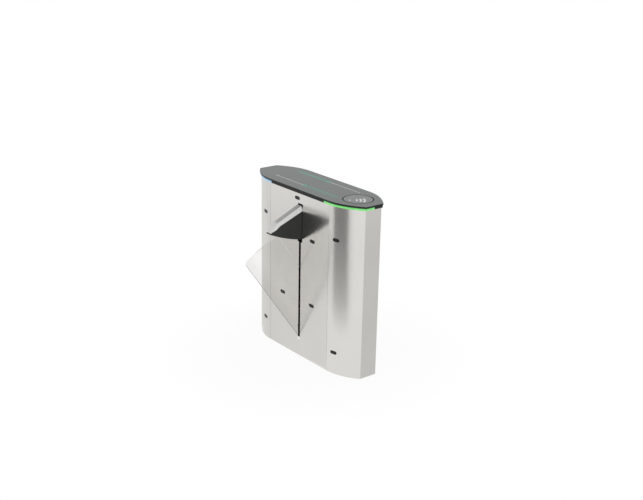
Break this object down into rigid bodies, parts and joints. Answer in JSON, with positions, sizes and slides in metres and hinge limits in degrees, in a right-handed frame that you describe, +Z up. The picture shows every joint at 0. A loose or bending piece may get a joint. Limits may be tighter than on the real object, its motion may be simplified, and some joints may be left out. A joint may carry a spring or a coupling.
{
  "type": "flap barrier turnstile",
  "caption": "Free-standing steel lane cabinet with curved ends, glossy lid with light band, and a clear two-leaf wing that fans out of a tall slot to bar the passage.",
  "frame": {"origin": "floor level at the centre of the four anchor holes of the base plate", "axes": "+X along the lane towards the reader end, -Y towards the passage that the wing bars, +Z up"},
  "size_m": [0.98, 0.6628, 1.024],
  "materials": {
    "steel_skin": "vertical fine brushed stainless",
    "frame_steel": "grey powder coat",
    "machined_steel": "turned and milled",
    "clear_panel": "clear polished sheet",
    "rail_alloy": "satin anodised",
    "pod_plastic": "fine grained moulding",
    "sensor_window": "dark infrared window",
    "lid_gloss": "gloss black top",
    "green_light": "lit diffuser",
    "blue_light": "lit diffuser",
    "circuit_board": "solder mask",
    "black_rubber": "moulded rubber",
    "bronze": "sintered bronze",
    "motor_paint": "black enamel",
    "battery_case": "moulded case",
    "lock_chrome": "bright plated"
  },
  "bodies": {
    "cabinet": {"backup_battery": "battery_case", "base_plate": "frame_steel", "bearing_stands": "frame_steel", "board_standoffs": "rail_alloy", "cable_grommet": "black_rubber", "control_board": "circuit_board", "door_hinge_fixed": "machined_steel", "door_hinge_pins": "machined_steel", "drive_motor": "motor_paint", "equipment_plate": "frame_steel", "frame_posts": "frame_steel", "frame_rails": "frame_steel", "front_panel": "steel_skin", "gearbox": "rail_alloy", "gearbox_stand": "frame_steel", "left_end_shell": "steel_skin", "lid_hinge_fixed": "machined_steel", "lid_hinge_pins": "machined_steel", "motor_encoder": "pod_plastic", "power_supply": "rail_alloy", "right_end_shell": "steel_skin", "sensor_boards": "circuit_board", "sensor_windows": "sensor_window", "shaft_bearings": "machined_steel", "slot_liner": "pod_plastic", "stop_buffers": "black_rubber"},
    "outer_wing": {"wing_shaft": "machined_steel", "shaft_collar": "machined_steel", "outer_hub": "machined_steel", "outer_leaf": "clear_panel", "outer_hub_screws": "machined_steel", "drag_pin": "machined_steel", "rocker_arm": "machined_steel"},
    "inner_wing": {"inner_leaf": "clear_panel", "inner_hub": "machined_steel", "inner_bush": "bronze", "inner_hub_screws": "machined_steel", "pod_near_cheek": "pod_plastic", "pod_far_cheek": "pod_plastic", "wing_rail": "rail_alloy", "pod_spacers": "rail_alloy", "tie_bolts": "machined_steel"},
    "crank": {"output_shaft": "machined_steel", "crank_arm": "machined_steel"},
    "rod": {"connecting_rod": "machined_steel"},
    "lid": {"lid_base": "pod_plastic", "lid_glass": "lid_gloss", "light_band": "pod_plastic", "green_light_bar": "green_light", "blue_light_bar": "blue_light", "reader_window": "lid_gloss", "reader_module": "pod_plastic", "indicator_board": "circuit_board", "lid_hinge_moving": "machined_steel"},
    "rear_door": {"rear_door": "steel_skin", "door_stiffeners": "frame_steel", "door_hinge_moving": "machined_steel", "lock_barrel": "lock_chrome"},
    "lock": {"lock_plug": "lock_chrome"}
  },
  "joints": [
    {"name": "outer_wing_turn", "type": "hinge", "parent": "cabinet", "child": "outer_wing", "pos_m": [0, -0.11, 0.118], "axis": [-1, 0, 0], "range_deg": [0, 36]},
    {"name": "inner_wing_turn", "type": "hinge", "parent": "cabinet", "child": "inner_wing", "pos_m": [0, -0.11, 0.118], "axis": [-1, 0, 0], "range_deg": [0, 19.1]},
    {"name": "crank_turn", "type": "hinge", "parent": "cabinet", "child": "crank", "pos_m": [0, 0.06, 0.118], "axis": [-1, 0, 0], "range_deg": [0, 36]},
    {"name": "rod_turn", "type": "hinge", "parent": "crank", "child": "rod", "pos_m": [0, 0.04609, 0.1608], "axis": [-1, 0, 0], "range_deg": [-36, 0]},
    {"name": "lid_hinge", "type": "hinge", "parent": "cabinet", "child": "lid", "pos_m": [0, 0.146, 1.005], "axis": [-1, 0, 0], "range_deg": [0, 75]},
    {"name": "door_hinge", "type": "hinge", "parent": "cabinet", "child": "rear_door", "pos_m": [-0.273, 0.1442, 0.5], "axis": [0, 0, 1], "range_deg": [0, 110]},
    {"name": "lock_turn", "type": "hinge", "parent": "rear_door", "child": "lock", "pos_m": [0.238, 0.11, 0.48], "axis": [0, 1, 0], "range_deg": [0, 90]}
  ],
  "couplings": [
    {"joint": "inner_wing_turn", "follows": "outer_wing_turn", "ratio": 0.53},
    {"joint": "crank_turn", "follows": "outer_wing_turn", "ratio": 1},
    {"joint": "rod_turn", "follows": "outer_wing_turn", "ratio": -1}
  ]
}
